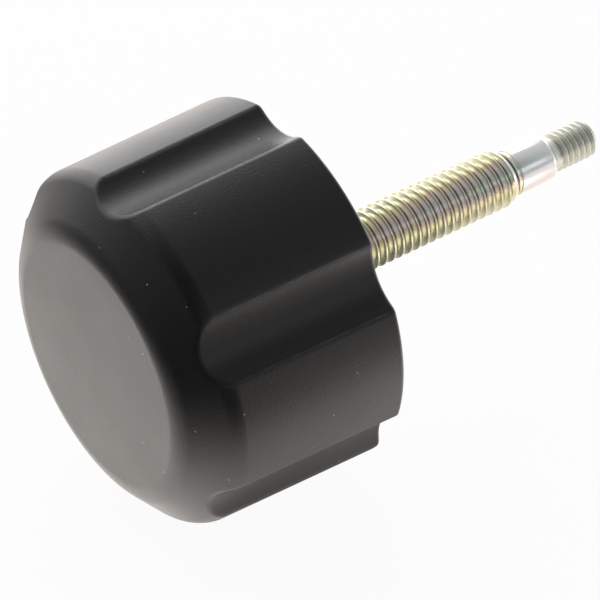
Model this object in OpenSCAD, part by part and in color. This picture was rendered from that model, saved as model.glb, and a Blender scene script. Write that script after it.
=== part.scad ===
// Fluted clamping knob on a moulded-in steel stud, lying on its side.
// The knob's axis is +X, towards the tip of the stud, with one flute up and one flute down.
// The origin is on the axis, at the head's rear face, where the stud leaves the head. Millimetres, +Z up.

/* [Head] */
// Diameter across the lobes at the rear rim
head_d = 36.4; // [30:0.1:60]
// Length of the head, from its rear face to its front face
head_len = 22; // [18:0.5:40]
// Draft of the gripping side, in degrees: the head narrows towards its front
draft = 1.4; // [0:0.1:3]
// Length of the tapered front, from the shoulder to the front face
front_len = 3.7; // [2:0.1:8]
// Angle of the tapered front to the axis, in degrees
front_angle = 50; // [20:1:55]
// Rounding between the tapered front and the front face
face_round = 3.6; // [1:0.1:8]
// Rounding of the shoulder between the gripping side and the tapered front
shoulder_round = 2.2; // [0.5:0.1:4]
// Break of the rear rim's outer edge
rim_break = 0.3; // [0.1:0.05:1]

/* [Flutes] */
// Number of flutes, one between each pair of lobes
flute_count = 6; // [4:1:10]
// Depth of a flute below the lobes
flute_depth = 1.4; // [0.6:0.1:3]
// Radius of a flute's hollow
flute_r = 5.2; // [3:0.1:8]
// Rounding of the edges between flutes and lobes
flute_edge_round = 1.2; // [0.4:0.1:2.5]

/* [Underside] */
// Wall between a flute's floor and the hollow underside
rim_wall = 2.6; // [1.5:0.1:5]
// Wall of the hub around the stud's anchor
hub_wall = 4.4; // [2:0.1:6]
// Thickness of the closed front
front_wall = 5; // [3:0.1:10]
// Thickness of the ribs between hub and rim
rib_t = 2; // [1:0.1:4]
// How far the ribs stay below the rear face
rib_setback = 1.5; // [0.5:0.1:6]

/* [Stud] */
// Diameter over the main thread
thread_d = 6; // [4:0.5:12]
// Pitch of the main thread
thread_pitch = 1; // [0.5:0.05:1.5]
// Length of the main thread outside the head, with its end taper
thread_len = 26; // [15:0.5:60]
// Length of the taper at the end of the main thread
thread_taper = 1.3; // [0.5:0.1:2]
// Diameter of the relief behind the main thread
relief_d = 4.4; // [3:0.1:8]
// Width of that relief
relief_w = 0.4; // [0.2:0.1:1]
// Diameter of the plain pilot
pilot_d = 4.8; // [3:0.1:8]
// Length of the plain pilot, with its taper
pilot_len = 5.2; // [2:0.1:15]
// Length of the taper at the end of the pilot
pilot_taper = 0.8; // [0.3:0.1:1.5]
// Diameter over the tip's thread
tip_d = 4; // [2:0.1:6]
// Pitch of the tip's thread
tip_pitch = 0.7; // [0.3:0.05:0.8]
// Length of the threaded tip
tip_len = 5.1; // [3:0.1:15]
// Depth of the neck between pilot and tip below the tip's thread
tip_neck_depth = 0.25; // [0.1:0.05:0.5]
// Width of the neck between pilot and tip
tip_neck_w = 0.4; // [0.2:0.1:1]
// Break of the tip's end
tip_break = 0.5; // [0.2:0.1:0.9]

/* [Anchor] */
// Diameter of the anchor that is moulded into the hub
anchor_d = 8; // [6.5:0.1:14]
// Length of the anchor inside the hub
anchor_len = 14; // [8:0.5:15]
// Depth of the groove that keys the anchor against pulling out
anchor_groove_depth = 0.8; // [0.3:0.1:1.2]
// Width of that groove
anchor_groove_w = 3; // [1:0.1:5]
// Break of the anchor's buried end
anchor_break = 0.6; // [0.2:0.1:1]

/* [Hidden] */
$fn = 96;
// angle left between a rounding and the face that it runs into
crease = 7;
// how far a cutting shape reaches past what it cuts
reach = 2;
// profile of a thread: its flanks' angle to the radius, and the widths of crest and root in pitches
flank_angle = 30;
crest_share = 1 / 8;
root_share = 1 / 4;

head_r = head_d / 2;
grip_len = head_len - front_len;
shoulder_r = head_r - grip_len * tan(draft);
face_r = shoulder_r - front_len * tan(front_angle);
front_slant = front_len / cos(front_angle);
// the face's rounding takes at most nine tenths of the tapered front
face_round_max = 0.9 * front_slant / tan((90 - front_angle) / 2);
face_round_r = min(face_round, face_round_max);

flute_pitch = 360 / flute_count;
flute_floor_r = head_r - flute_depth;
flute_axis_r = flute_floor_r + flute_r;
// centre of an edge rounding: it sits under the lobe and against the flute's hollow
edge_r = flute_edge_round;
edge_axis_r = head_r - edge_r * cos(crease);
edge_gap = flute_r + edge_r * cos(crease);
edge_angle = acos((pow(flute_axis_r, 2) + pow(edge_axis_r, 2) - pow(edge_gap, 2))
    / (2 * flute_axis_r * edge_axis_r));
edge_centre = edge_axis_r * [cos(edge_angle), sin(edge_angle)];

hub_r = anchor_d / 2 + hub_wall;
pocket_r = flute_floor_r - rim_wall;
pocket_depth = head_len - front_wall;

thread_r = thread_d / 2;
relief_r = relief_d / 2;
pilot_r = pilot_d / 2;
tip_r = tip_d / 2;
neck_r = tip_r - tip_neck_depth;
anchor_r = anchor_d / 2;
pilot_end = thread_len + pilot_len;
neck_end = pilot_end + tip_neck_w;
tip_start = neck_end + tip_neck_depth;
stud_end = pilot_end + tip_len;

// A step of length one along a direction
function unit(v) = v / norm(v);

// Takes off what lies outside a rounding at corner b, between the edges b-a and b-c of a convex outline.
module corner_round(a, b, c, r) {
    to_a = unit(a - b);
    to_c = unit(c - b);
    half = acos(to_a * to_c) / 2;
    centre = b + unit(to_a + to_c) * r * cos(crease) / sin(half);
    foot_a = b + to_a * ((centre - b) * to_a);
    foot_c = b + to_c * ((centre - b) * to_c);
    difference() {
        polygon([
            centre,
            centre + (foot_a - centre) * 2,
            b + (b - centre),
            centre + (foot_c - centre) * 2
        ]);
        translate(centre) circle(r = r);
    }
}

// Half section of the plain head: radius along x, station along y, rear face at y = 0
module head_section() {
    rim = [head_r - rim_break * tan(draft), -rim_break];
    shoulder = [shoulder_r, -grip_len];
    face = [face_r, -head_len];
    middle = [0, -head_len];
    difference() {
        polygon([[0, 0], [head_r - rim_break, 0], rim, shoulder, face, middle]);
        corner_round(rim, shoulder, face, shoulder_round);
        corner_round(shoulder, face, middle, face_round_r);
    }
}

// Cross-section of what is cut away for one flute, with its edges rounded into the lobes
module flute_section() {
    above = head_r + reach;
    side = [edge_centre[0], -edge_centre[1]];
    difference() {
        polygon([
            [flute_axis_r, 0],
            edge_centre,
            edge_centre * above / edge_axis_r,
            [2 * above, 0],
            side * above / edge_axis_r,
            side
        ]);
        translate(edge_centre) circle(r = edge_r);
        translate(side) circle(r = edge_r);
    }
    translate([flute_axis_r, 0]) circle(r = flute_r);
}

// One flute, tilted with the draft so that its floor follows the side of the head
module flute() {
    rotate([0, draft, 0])
        translate([0, 0, -head_len - reach])
            linear_extrude(head_len + 2 * reach) flute_section();
}

// Hollow underside: a ring between hub and rim, left standing where the ribs are
module underside() {
    difference() {
        translate([0, 0, -pocket_depth]) linear_extrude(pocket_depth + reach) difference() {
            circle(r = pocket_r);
            circle(r = hub_r);
        }
        for (i = [0 : flute_count - 1]) rotate(i * flute_pitch)
            translate([0, -rib_t / 2, -pocket_depth - reach])
                cube([pocket_r + reach, rib_t, pocket_depth + reach - rib_setback]);
    }
}

// Outline of the buried anchor, from its buried end to the rear face, as radius and station
groove_end = -(anchor_len - anchor_groove_w) / 2;
groove_start = groove_end - anchor_groove_w;
groove_r = anchor_r - anchor_groove_depth;
anchor_outline = [
    [0, -anchor_len],
    [anchor_r - anchor_break, -anchor_len],
    [anchor_r, -anchor_len + anchor_break],
    [anchor_r, groove_start],
    [groove_r, groove_start],
    [groove_r, groove_end],
    [anchor_r, groove_end],
    [anchor_r, 0]
];

// Outline of the stud outside the head: main thread, relief, plain pilot, neck and threaded tip
stud_outline = [
    [thread_r, 0],
    [thread_r, thread_len - thread_taper],
    [pilot_r, thread_len],
    [relief_r, thread_len],
    [relief_r, thread_len + relief_w],
    [pilot_r, thread_len + relief_w],
    [pilot_r, pilot_end - pilot_taper],
    [neck_r, pilot_end],
    [neck_r, neck_end],
    [tip_r, tip_start],
    [tip_r, stud_end - tip_break],
    [tip_r - tip_break, stud_end],
    [0, stud_end]
];

// Half section of a thread's grooves from one station to another: a ring for each pitch, in place of the helix
module thread_grooves(r, pitch, start, end) {
    half_root = pitch * root_share / 2;
    half_mouth = pitch * (1 - crest_share) / 2;
    depth = (half_mouth - half_root) / tan(flank_angle);
    // the cut follows its flanks out past the crests, by half a crest
    past = pitch * crest_share / 2;
    half_top = half_mouth + past * tan(flank_angle);
    for (middle = [start + pitch / 2 : pitch : end - pitch / 2])
        polygon([
            [r - depth, middle - half_root],
            [r + past, middle - half_top],
            [r + past, middle + half_top],
            [r - depth, middle + half_root]
        ]);
}

// The parts are drawn with their axis along +Z and laid down along +X.
module lay_down() {
    rotate([0, 90, 0]) children();
}

// Moulded head: lobes and flutes, tapered front, hollow ribbed underside and a hub round the anchor
module knob_head() {
    color([0.18, 0.18, 0.19]) lay_down() difference() {
        rotate_extrude() head_section();
        for (i = [0 : flute_count - 1]) rotate(i * flute_pitch) flute();
        underside();
        rotate_extrude() polygon(concat(anchor_outline, [[0, 0]]));
    }
}

// Turned steel stud, in one piece from the buried anchor to the threaded tip
module stud() {
    color([0.80, 0.76, 0.58]) lay_down() rotate_extrude() difference() {
        polygon(concat(anchor_outline, stud_outline));
        thread_grooves(thread_r, thread_pitch, 0, thread_len);
        thread_grooves(tip_r, tip_pitch, tip_start, stud_end);
    }
}

knob_head();
stud();
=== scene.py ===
import math

import bmesh
import bpy
from mathutils import Matrix, Quaternion, Vector


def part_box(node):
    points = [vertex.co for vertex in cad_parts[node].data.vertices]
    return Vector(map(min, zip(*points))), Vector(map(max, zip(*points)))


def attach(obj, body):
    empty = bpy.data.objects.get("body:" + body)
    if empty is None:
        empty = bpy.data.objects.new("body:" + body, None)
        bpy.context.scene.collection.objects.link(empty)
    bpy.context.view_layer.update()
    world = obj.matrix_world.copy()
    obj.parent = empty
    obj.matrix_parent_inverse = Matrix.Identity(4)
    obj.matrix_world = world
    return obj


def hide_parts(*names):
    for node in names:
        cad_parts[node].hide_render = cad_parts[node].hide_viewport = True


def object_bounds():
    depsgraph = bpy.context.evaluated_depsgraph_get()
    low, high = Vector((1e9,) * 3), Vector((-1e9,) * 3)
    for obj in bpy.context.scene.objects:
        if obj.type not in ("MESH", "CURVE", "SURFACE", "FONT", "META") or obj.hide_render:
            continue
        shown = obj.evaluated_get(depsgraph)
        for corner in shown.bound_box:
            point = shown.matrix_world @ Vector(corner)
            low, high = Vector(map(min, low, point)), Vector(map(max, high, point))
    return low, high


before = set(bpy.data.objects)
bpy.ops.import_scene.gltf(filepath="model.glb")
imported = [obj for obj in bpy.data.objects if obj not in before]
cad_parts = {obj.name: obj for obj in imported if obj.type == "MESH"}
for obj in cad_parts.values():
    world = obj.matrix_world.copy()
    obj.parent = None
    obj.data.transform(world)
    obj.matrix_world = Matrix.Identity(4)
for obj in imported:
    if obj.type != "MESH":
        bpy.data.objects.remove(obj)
cad_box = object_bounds()

# View
# The knob lies on its side with the stud pointing away to the right, and a long lens looks down on its
# front from the left. Azimuth 0 looks along +Y; the aim is a point in the upright plane through the axis.
mm = 0.001
view_azimuth = math.radians(34.0)
view_drop = math.radians(37.39)
view_roll = math.radians(-2.93)
view_distance = 343.3 * mm
view_aim = Vector((1.03, 0, -3.47)) * mm
view_way = Vector((
    math.sin(view_azimuth) * math.cos(view_drop),
    math.cos(view_azimuth) * math.cos(view_drop),
    -math.sin(view_drop),
))
camera = bpy.data.objects.new("camera", bpy.data.cameras.new("camera"))
camera.data.sensor_width = 36
camera.data.lens = 216
camera.data.clip_start = 50 * mm
camera.location = view_aim - view_distance * view_way
camera.rotation_mode = "QUATERNION"
camera.rotation_quaternion = view_way.to_track_quat("-Z", "Y") @ Quaternion((0, 0, 1), view_roll)
bpy.context.collection.objects.link(camera)
bpy.context.scene.camera = camera

# Head
# One injection moulding in black nylon: six broad grip lobes with shallow flutes between them, drafted for
# the mould, and a tapered front. Underneath it is cored out to a hub and six ribs.
head_low, head_high = [Vector(corner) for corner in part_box("knob_head")]
head_len = -head_low.x
head_r = head_high.y
draft_slope = math.tan(math.radians(1.4))
front_len = 3.7 * mm
front_slope = math.tan(math.radians(50))
shoulder_round = 2.2 * mm
face_round = 3.6 * mm
rim_round = 0.45 * mm
moulded_round = 0.25 * mm
flute_count = 6
flute_depth = 1.4 * mm
flute_r = 5.2 * mm
flute_edge_blend = 0.4 * mm
# the stretch of the tapered front where the flutes run out, in shares of the front's length
runout_from = 0.18
runout_to = 0.42
runout_steps = 12
lobe_steps = 160
core_r = 14.2 * mm
core_depth = 17 * mm
core_round = 0.8 * mm
hub_r = 8.4 * mm
anchor_r = 4 * mm
anchor_len = 14 * mm
anchor_break = 0.6 * mm
anchor_groove_depth = 0.8 * mm
anchor_groove_from = 5.5 * mm
anchor_groove_to = 8.5 * mm
rib_t = 2 * mm
rib_setback = 1.5 * mm
rib_sunk = 1.2 * mm
merge_gap = 0.0005 * mm
sharp_angle = math.radians(40)


def draw_outline(bm, corners):
    """Draws a half section in the XZ plane through corners of (station, radius, rounding, steps)."""
    points = [Vector((station, 0, radius)) for station, radius, rounding, steps in corners]
    verts = [bm.verts.new(point) for point in points]
    for a, b in zip(verts, verts[1:]):
        bm.edges.new((a, b))
    for i, (station, radius, rounding, steps) in enumerate(corners):
        if rounding:
            turn = (points[i] - points[i - 1]).angle(points[i + 1] - points[i])
            bmesh.ops.bevel(
                bm, geom=[verts[i]], offset=rounding * math.tan(turn / 2), offset_type="OFFSET",
                segments=steps, profile=0.5, affect="VERTICES", material=-1,
            )


def turn_sector(bm, sectors, steps):
    """Spins all that is drawn through one of so many equal sectors of a turn about the knob's axis."""
    bmesh.ops.spin(
        bm, geom=bm.verts[:] + bm.edges[:], cent=(0, 0, 0), axis=(1, 0, 0),
        angle=math.tau / sectors, steps=steps, use_merge=sectors == 1,
    )


def repeat_mesh(bm, count, move):
    """Adds copies of the whole mesh, the i-th one moved by move(i), and closes the seams and the poles."""
    first = bm.verts[:] + bm.edges[:] + bm.faces[:]
    for i in range(1, count):
        copy = bmesh.ops.duplicate(bm, geom=first)["geom"]
        verts = [item for item in copy if isinstance(item, bmesh.types.BMVert)]
        bmesh.ops.transform(bm, matrix=move(i), verts=verts)
    bmesh.ops.remove_doubles(bm, verts=bm.verts[:], dist=merge_gap)
    bmesh.ops.recalc_face_normals(bm, faces=bm.faces[:])


def make_piece(bm, name):
    """Makes a smooth-shaded object of a finished mesh and frees the mesh it was worked in."""
    mesh = bpy.data.meshes.new(name)
    for face in bm.faces:
        face.smooth = True
    bm.to_mesh(mesh)
    bm.free()
    piece = bpy.data.objects.new(name, mesh)
    bpy.context.collection.objects.link(piece)
    return piece


def lower_of(a, b, blend):
    """The lower of two heights, rounded over where they cross within the blend."""
    near = max(blend - abs(a - b), 0) / blend
    return min(a, b) - near * near * blend / 4


# the buried outline that the hub's socket and the stud's anchor share
anchor_groove_r = anchor_r - anchor_groove_depth
anchor_outline = [
    (-anchor_len, 0, 0, 0),
    (-anchor_len, anchor_r - anchor_break, 0, 0),
    (-anchor_len + anchor_break, anchor_r, 0, 0),
    (-anchor_groove_to, anchor_r, 0, 0),
    (-anchor_groove_to, anchor_groove_r, 0, 0),
    (-anchor_groove_from, anchor_groove_r, 0, 0),
    (-anchor_groove_from, anchor_r, 0, 0),
]
shoulder_station = front_len - head_len
shoulder_r = head_r + shoulder_station * draft_slope
face_r = shoulder_r - front_len * front_slope
runout_outline = []
for i in range(runout_steps + 1):
    along = front_len * (runout_from + (runout_to - runout_from) * i / runout_steps)
    runout_outline.append((shoulder_station - along, shoulder_r - along * front_slope, 0, 0))
head_mesh = bmesh.new()
draw_outline(head_mesh, [
    *anchor_outline,
    (0, anchor_r, moulded_round / 2, 2),
    (0, hub_r, moulded_round, 4),
    (-core_depth, hub_r, core_round, 6),
    (-core_depth, core_r, core_round, 6),
    (0, core_r, moulded_round, 4),
    (0, head_r, rim_round, 5),
    (shoulder_station, shoulder_r, shoulder_round, 16),
    *runout_outline,
    (-head_len, face_r, face_round, 26),
    (-head_len, 0, 0, 0),
])
turn_sector(head_mesh, flute_count, lobe_steps)

# the outside sinks to the flutes' hollows, which follow the draft, and the rim's rounding goes down with it
flute_pitch = math.tau / flute_count
rear_flute_axis_r = head_r - flute_depth + flute_r
for vert in head_mesh.verts:
    station, across, up = vert.co
    radius = math.hypot(across, up)
    angle = math.atan2(across, up)
    off_flute = angle - flute_pitch * round(angle / flute_pitch)
    flute_axis_r = rear_flute_axis_r + station * draft_slope
    sideways = flute_axis_r * math.sin(off_flute)
    if radius < core_r + moulded_round * 2 or abs(sideways) >= flute_r:
        continue
    hollow_r = flute_axis_r * math.cos(off_flute) - math.sqrt(flute_r ** 2 - sideways ** 2)
    inset = 0
    if station > -rim_round:
        inset = head_r + station * draft_slope - radius
    fluted_r = lower_of(radius + inset, hollow_r, flute_edge_blend) - inset
    vert.co.y *= fluted_r / radius
    vert.co.z *= fluted_r / radius
repeat_mesh(head_mesh, flute_count, lambda i: Matrix.Rotation(i * flute_pitch, 4, "X"))
head = make_piece(head_mesh, "grip_head")

ribs_mesh = bmesh.new()
rib_bottom = -core_depth - rib_sunk
rib_inner = hub_r - rib_sunk
rib_size = Vector((-rib_setback - rib_bottom, rib_t, core_r + rib_sunk - rib_inner))
rib_middle = Vector((rib_bottom + rib_size.x / 2, 0, rib_inner + rib_size.z / 2))
for i in range(flute_count):
    stand = Matrix.Rotation(i * flute_pitch, 4, "X") @ Matrix.Translation(rib_middle)
    made = bmesh.ops.create_cube(ribs_mesh, size=1, matrix=stand @ Matrix.Diagonal((*rib_size, 1)))
    top_edges = {
        edge for vert in made["verts"] for edge in vert.link_edges
        if all(end.co.x > -rib_setback - moulded_round for end in edge.verts)
    }
    bmesh.ops.bevel(
        ribs_mesh, geom=list(top_edges), offset=moulded_round, segments=3, profile=0.5,
        affect="EDGES", material=-1,
    )
ribs = make_piece(ribs_mesh, "ribs")
joined = head.modifiers.new("ribs", "BOOLEAN")
joined.operation = "UNION"
joined.solver = "EXACT"
joined.object = ribs
head.data = bpy.data.meshes.new_from_object(head.evaluated_get(bpy.context.evaluated_depsgraph_get()))
head.modifiers.clear()
bpy.data.objects.remove(ribs)
head.data.set_sharp_from_angle(angle=sharp_angle)
even = head.modifiers.new("even_normals", "WEIGHTED_NORMAL")
even.keep_sharp = True

plastic_black = (0.006, 0.006, 0.0065, 1)
# a paler grey painted along the edges as a highlight
highlight_grey = (0.04, 0.04, 0.04, 1)
speck_grey = (0.22, 0.22, 0.21, 1)
satin_smooth = 0.36
satin_dull = 0.44
satin_patch = 6 * mm
grain_size = 0.16 * mm
grain_height = 0.04 * mm
speck_spacing = 2.5 * mm
speck_r = 0.12 * mm
highlight_half = 0.09 * mm
highlight_patch = 2 * mm
edge_smoothing = 0.06


def plug(tree, socket, value):
    """Feeds a socket from an output, or sets it to a value."""
    if isinstance(value, bpy.types.NodeSocket):
        tree.links.new(value, socket)
    else:
        socket.default_value = value


def new_material(name):
    """Starts a material and gives it with its node tree, its shader and the piece's own coordinates."""
    material = bpy.data.materials.new(name)
    material.use_nodes = True
    tree = material.node_tree
    place = tree.nodes.new("ShaderNodeTexCoord").outputs["Object"]
    return material, tree, tree.nodes["Principled BSDF"], place


def add_node(tree, kind, inputs, **settings):
    """Adds a node with its settings; each input is a value, or the output that feeds it."""
    node = tree.nodes.new("ShaderNode" + kind)
    for name, value in settings.items():
        setattr(node, name, value)
    for name, value in inputs.items():
        plug(tree, node.inputs[name], value)
    return node


def feed(tree, shader, **sockets):
    """Feeds the shader's inputs, named with underscores, from values or outputs."""
    for name, value in sockets.items():
        plug(tree, shader.inputs[name.replace("_", " ")], value)


def work_out(tree, operation, *values):
    """A sum on values and outputs."""
    return add_node(tree, "Math", dict(enumerate(values)), operation=operation).outputs["Value"]


def work_out_vectors(tree, operation, *vectors):
    """A sum on vectors; a length or a dot product comes out as a value."""
    node = add_node(tree, "VectorMath", dict(enumerate(vectors)), operation=operation)
    return node.outputs["Value" if operation in ("LENGTH", "DOT_PRODUCT") else "Vector"]


def turned_place(tree, place):
    """The station along the knob's axis, the distance from it and the angle round it."""
    parts = add_node(tree, "SeparateXYZ", {"Vector": place}).outputs
    radius = work_out_vectors(tree, "LENGTH", work_out_vectors(tree, "MULTIPLY", place, (0, 1, 1)))
    return parts["X"], radius, work_out(tree, "ARCTAN2", parts["Y"], parts["Z"])


def spread(tree, value, low, high, to_low=0, to_high=1, **settings):
    """Maps one range of a value to another and holds it at both ends."""
    return add_node(tree, "MapRange", {
        "Value": value, "From Min": low, "From Max": high, "To Min": to_low, "To Max": to_high,
    }, **settings).outputs["Result"]


def noise(tree, place, size, detail):
    """Cloudy noise from 0 to 1 with features of about a size."""
    return add_node(tree, "TexNoise", {"Vector": place, "Scale": 1 / size, "Detail": detail}).outputs["Fac"]


def mix_colours(tree, share, first, second):
    """Puts a share of the second colour over the first."""
    return add_node(
        tree, "Mix", {"Factor": share, "A": first, "B": second}, data_type="RGBA",
    ).outputs["Result"]


plastic, tree, shader, place = new_material("satin_black_nylon")
station, radius, angle = turned_place(tree, place)
grain = noise(tree, place, grain_size, 3)
bump = add_node(tree, "Bump", {"Strength": 0.65, "Distance": grain_height, "Height": grain})
cells = add_node(tree, "TexVoronoi", {"Vector": place, "Scale": 1 / speck_spacing})
speck_edge = speck_r / speck_spacing
speck = spread(tree, cells.outputs["Distance"], 0.6 * speck_edge, speck_edge, 1, 0)

# painted highlight: the edges of the flutes and the rear rim are painted paler as highlight lines and made
# smoother, here more and there less
flute_edge_turn = math.acos(
    (head_r ** 2 + rear_flute_axis_r ** 2 - flute_r ** 2) / (2 * head_r * rear_flute_axis_r)
)
highlight_turn = highlight_half / head_r
flute_floor_r = head_r - flute_depth
off_flute = work_out(tree, "PINGPONG", angle, flute_pitch / 2)
off_edge = work_out(tree, "ABSOLUTE", work_out(tree, "SUBTRACT", off_flute, flute_edge_turn))
on_edge = spread(tree, off_edge, 0.4 * highlight_turn, 1.6 * highlight_turn, 1, 0)
on_grip = spread(tree, station, shoulder_station, shoulder_station + shoulder_round)
on_rim = spread(tree, station, -rim_round, -0.6 * rim_round)
on_outside = spread(tree, radius, flute_floor_r - 2 * rim_round, flute_floor_r - rim_round)
patchy = spread(tree, noise(tree, place, highlight_patch, 2), 0.35, 0.65, 0.3, 1)
edge_highlight = work_out(tree, "MAXIMUM", work_out(tree, "MULTIPLY", on_edge, on_grip), on_rim)
edge_highlight = work_out(tree, "MULTIPLY", edge_highlight, on_outside)
edge_highlight = work_out(tree, "MULTIPLY", edge_highlight, patchy)
# the painted highlight goes into the black base colour
black_with_highlight = mix_colours(tree, edge_highlight, plastic_black, highlight_grey)
satin = spread(tree, noise(tree, place, satin_patch, 2), 0, 1, satin_smooth, satin_dull)
feed(
    tree, shader,
    Base_Color=mix_colours(tree, speck, black_with_highlight, speck_grey),
    Roughness=work_out(tree, "MULTIPLY_ADD", edge_highlight, -edge_smoothing, satin),
    IOR=1.53,
    Specular_IOR_Level=0.33,
    Normal=bump.outputs["Normal"],
)
head.data.materials.append(plastic)
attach(head, "root")
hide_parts("knob_head")

# Stud
# One piece of steel, turned, rolled and zinc plated with a yellow passivate: a keyed anchor in the hub,
# an M6 thread, a plain pilot behind a narrow relief, and an M4 threaded tip.
stud_end = Vector(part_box("stud")[1]).x
thread_pitch = 1 * mm
thread_crest_r = 2.94 * mm
thread_crest_flat = 0.19 * mm
thread_root_round = 0.14 * mm
thread_phase = 0.13 * mm
thread_end = 26 * mm
thread_taper = 1.3 * mm
thread_steps = 96
flank_slope = math.tan(math.radians(30))
relief_r = 2.2 * mm
relief_w = 0.4 * mm
pilot_r = 2.4 * mm
pilot_end = 31.2 * mm
pilot_taper = 0.8 * mm
neck_r = 1.75 * mm
neck_w = 0.4 * mm
tip_pitch = 0.7 * mm
tip_crest_r = 1.95 * mm
tip_crest_flat = 0.14 * mm
tip_root_round = 0.1 * mm
tip_break = 0.5 * mm
turned_round = 0.12 * mm
cut_gap = 0.0001 * mm
ring_gap = 0.002 * mm


def roll_thread(pitch, crest_r, crest_flat, root_round, phase, start, end):
    """Sweeps a pitch of a sixty-degree thread along a right-hand screw, from about start to past end."""
    bm = bmesh.new()
    corner = (pitch - crest_flat) / 2
    root_r = crest_r - corner / flank_slope
    # the first root lies within a pitch before the start, and the crests are in step with the phase
    first = start - pitch * 1.5
    first += (phase - first) % pitch + pitch / 2
    turns = math.ceil((end - first) / pitch) + 2
    draw_outline(bm, [
        (first - pitch / 2, crest_r, 0, 0),
        (first - corner, crest_r, crest_flat / 3, 3),
        (first, root_r, root_round, 5),
        (first + corner, crest_r, crest_flat / 3, 3),
        (first + pitch / 2, crest_r, 0, 0),
    ])
    bmesh.ops.spin(
        bm, geom=bm.verts[:] + bm.edges[:], cent=(0, 0, 0), axis=(1, 0, 0),
        dvec=(pitch / thread_steps, 0, 0), angle=math.tau, steps=thread_steps,
    )
    repeat_mesh(bm, turns, lambda i: Matrix.Translation((i * pitch, 0, 0)))
    return bm


def cut_to(bm, start, end, limit):
    """Turns a thread down to a limit that depends on the station and cuts it square at both ends."""
    for vert in bm.verts:
        radius = math.hypot(vert.co.y, vert.co.z)
        turned = min(radius, limit(vert.co.x)) / radius
        vert.co.y *= turned
        vert.co.z *= turned
    for station, way in ((start, -1), (end, 1)):
        bmesh.ops.bisect_plane(
            bm, geom=bm.verts[:] + bm.edges[:] + bm.faces[:], dist=cut_gap,
            plane_co=(station, 0, 0), plane_no=(way, 0, 0), clear_outer=True,
        )


def main_limit(station):
    """The turned taper at the end of the main thread."""
    slope = (thread_crest_r - pilot_r) / thread_taper
    return min(thread_crest_r, pilot_r + (thread_end - station) * slope)


def tip_limit(station):
    """The tip's thread rises out of the neck and is broken at its end."""
    rising = neck_r + max(station - neck_end, 0)
    broken = tip_crest_r - tip_break + stud_end - station
    return min(tip_crest_r, rising, broken)


def add_to(bm, other):
    """Puts another mesh into this one and frees it."""
    passing = bpy.data.meshes.new("passing")
    other.to_mesh(passing)
    other.free()
    bm.from_mesh(passing)
    bpy.data.meshes.remove(passing)


def ring_at(bm, station, reach):
    """The open edges of a ring at a station, no further than a reach from the axis."""
    return [
        edge for edge in bm.edges
        if edge.is_boundary and all(
            abs(end.co.x - station) < ring_gap and math.hypot(end.co.y, end.co.z) <= reach
            for end in edge.verts
        )
    ]


neck_end = pilot_end + neck_w
plain_end = neck_end - neck_w / 4
neck_reach = neck_r * 1.1
stud_mesh = bmesh.new()
draw_outline(stud_mesh, [
    *anchor_outline,
    (0, anchor_r, turned_round, 3),
    (0, thread_crest_r + turned_round, 0, 0),
])
draw_outline(stud_mesh, [
    (thread_end, relief_r, 0, 0),
    (thread_end + relief_w, relief_r, turned_round / 2, 2),
    (thread_end + relief_w, pilot_r, turned_round, 3),
    (pilot_end - pilot_taper, pilot_r, turned_round * 2, 4),
    (pilot_end, neck_r, turned_round, 3),
    (plain_end, neck_r, 0, 0),
])
turn_sector(stud_mesh, 1, thread_steps)
bmesh.ops.remove_doubles(stud_mesh, verts=stud_mesh.verts[:], dist=merge_gap)
main_thread = roll_thread(
    thread_pitch, thread_crest_r, thread_crest_flat, thread_root_round, thread_phase, 0, thread_end,
)
cut_to(main_thread, 0, thread_end, main_limit)
add_to(stud_mesh, main_thread)
tip_thread = roll_thread(
    tip_pitch, tip_crest_r, tip_crest_flat, tip_root_round, 0, neck_end, stud_end,
)
cut_to(tip_thread, neck_end, stud_end, tip_limit)
add_to(stud_mesh, tip_thread)

# the threads are bridged to the plain stretches, and the tip's end is closed
bmesh.ops.bridge_loops(stud_mesh, edges=ring_at(stud_mesh, 0, anchor_r))
bmesh.ops.bridge_loops(stud_mesh, edges=ring_at(stud_mesh, thread_end, thread_crest_r))
neck_rings = ring_at(stud_mesh, plain_end, neck_reach) + ring_at(stud_mesh, neck_end, neck_reach)
bmesh.ops.bridge_loops(stud_mesh, edges=neck_rings)
bmesh.ops.edgeloop_fill(stud_mesh, edges=ring_at(stud_mesh, stud_end, tip_crest_r))
bmesh.ops.recalc_face_normals(stud_mesh, faces=stud_mesh.faces[:])
stud = make_piece(stud_mesh, "plated_stud")
stud.data.set_sharp_from_angle(angle=sharp_angle)

film_colours = [
    (0.00, (0.93, 0.92, 0.72)),
    (0.25, (0.90, 0.85, 0.57)),
    (0.45, (0.90, 0.77, 0.64)),
    (0.62, (0.88, 0.80, 0.80)),
    (0.80, (0.78, 0.88, 0.76)),
    (1.00, (0.82, 0.92, 0.64)),
]
film_stripes = 3
film_turn = math.radians(47)
film_cloud = 1.6 * mm
film_smooth = 0.16
film_hazy = 0.26
# a dark olive painted into the thread's roots as shade
root_shade_olive = (0.05, 0.05, 0.025, 1)
# an olive that darkens the crests as painted shade
crest_shade_olive = (0.40, 0.42, 0.22, 1)
crest_from = 0.07 * mm
crest_to = 0.03 * mm
pilot_lilac = (0.90, 0.83, 0.90, 1)
pilot_teal = (0.84, 0.90, 0.91, 1)
tip_grey = (0.64, 0.65, 0.54, 1)
tip_dull = 0.14
tip_fade = 0.3 * mm
thread_fade = 0.05 * mm
turning_spacing = 0.9 * mm
plating_grain = 0.1 * mm
plating_height = 0.01 * mm


def ramp(tree, value, stops):
    """Colours along a value from 0 to 1."""
    node = add_node(tree, "ValToRGB", {"Fac": value})
    elements = node.color_ramp.elements
    while len(elements) < len(stops):
        elements.new(1)
    for element, (position, colour) in zip(elements, stops):
        element.position = position
        element.color = (*colour, 1)
    return node.outputs["Color"]


zinc, tree, shader, place = new_material("yellow_passivated_zinc")
station, radius, angle = turned_place(tree, place)

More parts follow.
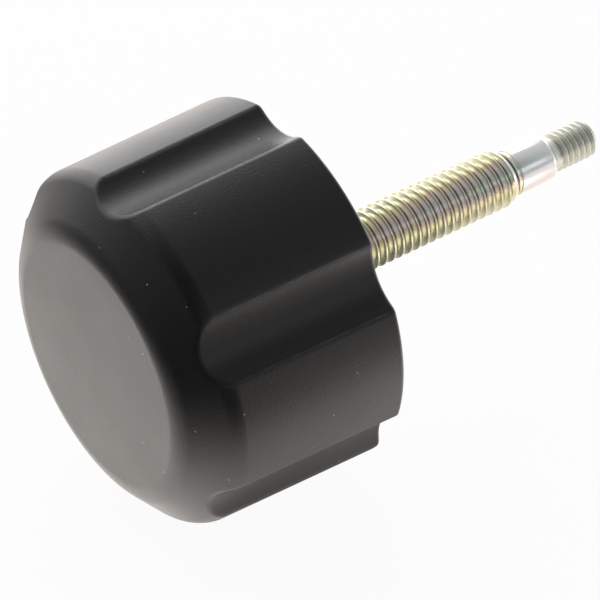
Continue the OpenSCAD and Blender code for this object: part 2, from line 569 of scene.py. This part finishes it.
# the film's colours change round the thread in stripes, drift along it and are broken up by clouds
stripe_angle = work_out(tree, "MULTIPLY_ADD", angle, film_stripes, film_stripes * film_turn)
stripe = work_out(tree, "COSINE", stripe_angle)
clouds = noise(tree, place, film_cloud, 3)
film = spread(tree, station, 0, thread_end, -0.02, 0.28)
film = work_out(tree, "MULTIPLY_ADD", stripe, 0.28, film)
film = work_out(tree, "MULTIPLY_ADD", clouds, 0.45, film)
colour = ramp(tree, film, film_colours)

# the pilot and the tip have colours of their own; the thread's roots are darkened as painted shade, and its
# crests as painted shade over their highlights
pilot_start = thread_end + relief_w
on_thread = spread(tree, station, thread_end - thread_fade, thread_end, 1, 0)
on_pilot = spread(tree, station, pilot_start, pilot_start + thread_fade, 0, 0.75)
on_tip = spread(tree, station, pilot_end - tip_fade, pilot_end + tip_fade)
pastel = mix_colours(tree, spread(tree, stripe, -1, 1), pilot_lilac, pilot_teal)
colour = mix_colours(tree, on_pilot, colour, pastel)
colour = mix_colours(tree, work_out(tree, "MULTIPLY", on_tip, 0.8), colour, tip_grey)
# painted shade: the crests are darkened to damp their highlights
crest_shade = spread(tree, radius, thread_crest_r - crest_from, thread_crest_r - crest_to, 0, 0.55)
colour = mix_colours(tree, work_out(tree, "MULTIPLY", crest_shade, on_thread), colour, crest_shade_olive)
# painted shade: the roots of both threads are darker, where shade falls between the flanks
for crest_r, deep, shallow, share, where in (
    (thread_crest_r, 0.56 * mm, 0.46 * mm, 0.85, on_thread),
    (tip_crest_r, 0.4 * mm, 0.28 * mm, 0.5, on_tip),
):
    root_shade = spread(tree, radius, crest_r - deep, crest_r - shallow, share, 0)
    colour = mix_colours(tree, work_out(tree, "MULTIPLY", root_shade, where), colour, root_shade_olive)
turning = add_node(
    tree, "TexWave", {"Vector": place, "Scale": 1 / turning_spacing, "Distortion": 0.6, "Detail": 2},
    bands_direction="X",
).outputs["Fac"]
marks = work_out(tree, "MULTIPLY_ADD", turning, 0.5, noise(tree, place, plating_grain, 2))
bump = add_node(tree, "Bump", {"Strength": 0.2, "Distance": plating_height, "Height": marks})
haze = spread(tree, clouds, 0.3, 0.7, film_smooth, film_hazy)
feed(
    tree, shader,
    Base_Color=colour,
    Metallic=0.5,
    Roughness=work_out(tree, "MULTIPLY_ADD", on_tip, tip_dull, haze),
    Normal=bump.outputs["Normal"],
)
stud.data.materials.append(zinc)
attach(stud, "root")
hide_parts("stud")

# Floor and light
# A white table with a faint shadow, in a room that is bright beyond the knob and dark behind the viewer.
# A soft box and a low strip hang at the back and a weak box in front; the knob mirrors the table in spots.
table_size = 3000 * mm
table_white = (0.8, 0.8, 0.8, 1)
table_warm = (1, 0.94, 0.89, 1)
shadow_share = 0.05
far_way = (0.8, 0.6, 0)
far_from = 30 * mm
far_to = 110 * mm
far_level = 2
right_from = 6 * mm
right_to = 20 * mm
right_level = 1.3
# brightness of the room from straight beyond the knob, at 0, to straight behind the viewer, at 1
room_strength = 1.65
room_levels = [(0.28, 1), (0.4, 0.4), (0.75, 0.3), (0.82, 0.22), (0.9, 0.06), (0.96, 0.03)]
lamp_white = (0.96, 0.97, 1)
floor_mesh = bmesh.new()
bmesh.ops.create_grid(
    floor_mesh, x_segments=1, y_segments=1, size=table_size,
    matrix=Matrix.Translation((0, 0, cad_box[0].z)),
)
floor = make_piece(floor_mesh, "floor")
white, tree, shader, place = new_material("white_table")
feed(tree, shader, Base_Color=table_white, Roughness=0.9)


def spot(tree, place, centre, reach, level):
    """A soft oval of light on the table, in millimetres, that is gone at about twice its reach."""
    off = work_out_vectors(tree, "SUBTRACT", place, (centre[0] * mm, centre[1] * mm, 0))
    scaled = work_out_vectors(tree, "DIVIDE", off, (reach[0] * mm, reach[1] * mm, 1))
    away = work_out_vectors(tree, "LENGTH", work_out_vectors(tree, "MULTIPLY", scaled, (1, 1, 0)))
    return spread(tree, away, 0.3, 1.9, level, 0, interpolation_type="SMOOTHSTEP")


far = work_out_vectors(tree, "DOT_PRODUCT", place, far_way)
beside = add_node(tree, "SeparateXYZ", {"Vector": place}).outputs["X"]
mirrored = spread(tree, far, far_from, far_to, 0, far_level)
left_spot = spot(tree, place, (-36, 40), (21, 52), 3.1)
corner_spot = spot(tree, place, (-26, -12), (9, 20), 1)
near_spot = spot(tree, place, (6, -34), (32, 16), 2.5)
right_side = spread(tree, beside, right_from, right_to, 0, right_level)
for glint in (left_spot, corner_spot, near_spot, right_side):
    mirrored = work_out(tree, "ADD", mirrored, glint)
rays = tree.nodes.new("ShaderNodeLightPath").outputs
glossy = rays["Is Glossy Ray"]
seen = work_out(tree, "MAXIMUM", rays["Is Camera Ray"], rays["Is Transmission Ray"])
seen = work_out(tree, "MAXIMUM", seen, glossy)
glow = add_node(tree, "Emission", {
    "Color": mix_colours(tree, glossy, (1, 1, 1, 1), table_warm),
    "Strength": add_node(tree, "Mix", {"Factor": glossy, "A": 1, "B": mirrored}).outputs["Result"],
})
blend = add_node(tree, "MixShader", {
    0: work_out(tree, "MULTIPLY", seen, 1 - shadow_share),
    1: shader.outputs["BSDF"],
    2: glow.outputs["Emission"],
})
tree.links.new(blend.outputs["Shader"], tree.nodes["Material Output"].inputs["Surface"])
floor.data.materials.append(white)

world = bpy.data.worlds.new("booth")
bpy.context.scene.world = world
world.use_nodes = True
tree = world.node_tree
way = tree.nodes.new("ShaderNodeTexCoord").outputs["Generated"]
to_viewer = work_out_vectors(tree, "DOT_PRODUCT", way, -view_way)
room_greys = [(position, (level, level, level)) for position, level in room_levels]
room = ramp(tree, spread(tree, to_viewer, -1, 1), room_greys)
feed(tree, tree.nodes["Background"], Color=room, Strength=room_strength)


def add_lamp(name, place, width, height, level):
    """Hangs an oblong soft box of a brightness, placed and sized in millimetres, that faces the knob."""
    hung_at = Vector(place) * mm
    lamp = bpy.data.objects.new(name, bpy.data.lights.new(name, "AREA"))
    lamp.data.shape = "RECTANGLE"
    lamp.data.size = width * mm
    lamp.data.size_y = height * mm
    lamp.data.energy = math.pi * width * mm * height * mm * level
    lamp.data.color = lamp_white
    lamp.location = hung_at
    lamp.rotation_mode = "QUATERNION"
    lamp.rotation_quaternion = (-hung_at).to_track_quat("-Z", "Y")
    bpy.context.collection.objects.link(lamp)


add_lamp("back_box", (0, 500, 460), 900, 480, 2.7)
add_lamp("front_box", (0, -620, 310), 950, 220, 0.95)
add_lamp("low_strip", (300, 650, 90), 900, 140, 2.2)

bpy.context.scene.view_settings.view_transform = "Standard"
